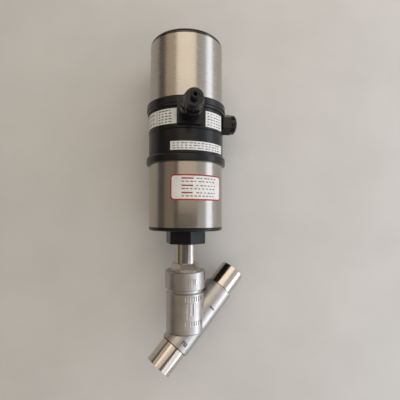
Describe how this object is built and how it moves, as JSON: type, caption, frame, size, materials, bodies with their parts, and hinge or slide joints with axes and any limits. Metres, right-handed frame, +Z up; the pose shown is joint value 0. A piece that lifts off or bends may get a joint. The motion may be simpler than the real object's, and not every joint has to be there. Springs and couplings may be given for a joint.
{
  "type": "angle seat valve",
  "caption": "Pneumatic angle seat valve with weld ends, piston actuator in a steel sleeve and a compact control head with cable gland and push-in air port.",
  "frame": {"origin": "where the stem axis meets the pipe axis, inside the cast body", "axes": "+Z up the stem towards the control head; the pipe axis lies in the XZ plane at 45 degrees, port 1 towards +X +Z"},
  "size_m": [0.0925, 0.1012, 0.2863],
  "materials": {
    "cast_steel": "bead-blasted investment-cast stainless steel",
    "tube_steel": "polished stainless tube",
    "turned_steel": "turned stainless steel",
    "sleeve_steel": "axially brushed stainless sleeve",
    "shell_steel": "axially brushed stainless cover",
    "spring_steel": "drawn spring wire",
    "black_plastic": "moulded glass-filled plastic, fine spark texture",
    "fitting_plastic": "moulded polyamide",
    "smoked_cap": "smoked polycarbonate",
    "ptfe": "filled PTFE",
    "guide_plastic": "bearing plastic",
    "elastomer": "moulded elastomer",
    "graphite": "pressed graphite",
    "piston_alloy": "turned aluminium",
    "grey_plastic": "moulded plastic",
    "clear_plastic": "clear acrylic",
    "board": "solder-mask laminate",
    "coil": "potted coil",
    "iron": "plated magnetic steel",
    "bronze": "sintered bronze"
  },
  "bodies": {
    "body": {"valve_body": "cast_steel", "weld_tube_lower": "tube_steel", "weld_tube_upper": "tube_steel", "body_gasket": "graphite", "bonnet_nipple": "turned_steel", "bonnet_tube": "turned_steel", "tube_circlip": "spring_steel", "support_ring": "turned_steel", "packing_spring": "spring_steel", "pressure_ring": "turned_steel", "packing_rings": "ptfe", "spindle_guide": "guide_plastic", "spindle_wiper": "elastomer"},
    "actuator": {"actuator_base": "black_plastic", "swivel_o_ring": "elastomer", "sleeve_o_ring_lower": "elastomer", "actuator_sleeve": "sleeve_steel", "actuator_cover": "black_plastic", "sleeve_o_ring_upper": "elastomer", "closing_spring_outer": "spring_steel", "closing_spring_inner": "spring_steel"},
    "stem": {"spindle": "turned_steel", "plug_plate": "turned_steel", "seat_seal": "ptfe", "seal_retainer": "turned_steel", "plug_pin": "turned_steel", "piston": "piston_alloy", "piston_seal": "elastomer", "piston_guide_ring": "ptfe", "piston_nut": "spring_steel", "position_rod": "turned_steel", "sensor_target": "iron"},
    "head": {"head_base": "black_plastic", "head_o_ring": "elastomer", "head_shell": "shell_steel", "head_cap": "smoked_cap", "cap_o_ring": "elastomer", "gland_body": "fitting_plastic", "gland_nut": "fitting_plastic", "gland_seal": "elastomer", "supply_fitting": "fitting_plastic", "exhaust_fitting": "fitting_plastic", "exhaust_silencer": "bronze", "head_chassis": "grey_plastic", "circuit_board": "board", "terminal_block": "grey_plastic", "position_sensor": "grey_plastic", "pilot_valve": "grey_plastic", "pilot_coil": "coil", "pilot_screws": "spring_steel", "light_guide": "clear_plastic"},
    "collet": {"supply_collet": "grey_plastic"},
    "override": {"pilot_override": "grey_plastic"},
    "armature": {"pilot_armature": "iron"}
  },
  "joints": [
    {"name": "actuator_swivel", "type": "hinge", "parent": "body", "child": "actuator", "pos_m": [0, 0, 0.085], "axis": [0, 0, 1], "range_deg": [-180, 180]},
    {"name": "stem_stroke", "type": "slide", "parent": "body", "child": "stem", "axis": [0, 0, 1], "range_m": [0, 0.008], "stiffness_N_per_m": 8000, "springref_m": 0.0004, "deforming": ["closing_spring_outer", "closing_spring_inner"]},
    {"name": "head_swivel", "type": "hinge", "parent": "actuator", "child": "head", "pos_m": [0, 0, 0.172], "axis": [0, 0, 1], "range_deg": [-180, 180]},
    {"name": "collet_press", "type": "slide", "parent": "head", "child": "collet", "axis": [-0.9336, 0.3584, 0], "range_m": [0, 0.0008], "stiffness_N_per_m": 400},
    {"name": "override_turn", "type": "hinge", "parent": "head", "child": "override", "pos_m": [-0.01809, -0.00109, 0.2019], "axis": [-0.3584, -0.9336, 0], "range_deg": [0, 90]},
    {"name": "armature_lift", "type": "slide", "parent": "head", "child": "armature", "axis": [0, 0, 1], "range_m": [0, 0.0006], "stiffness_N_per_m": 400}
  ]
}
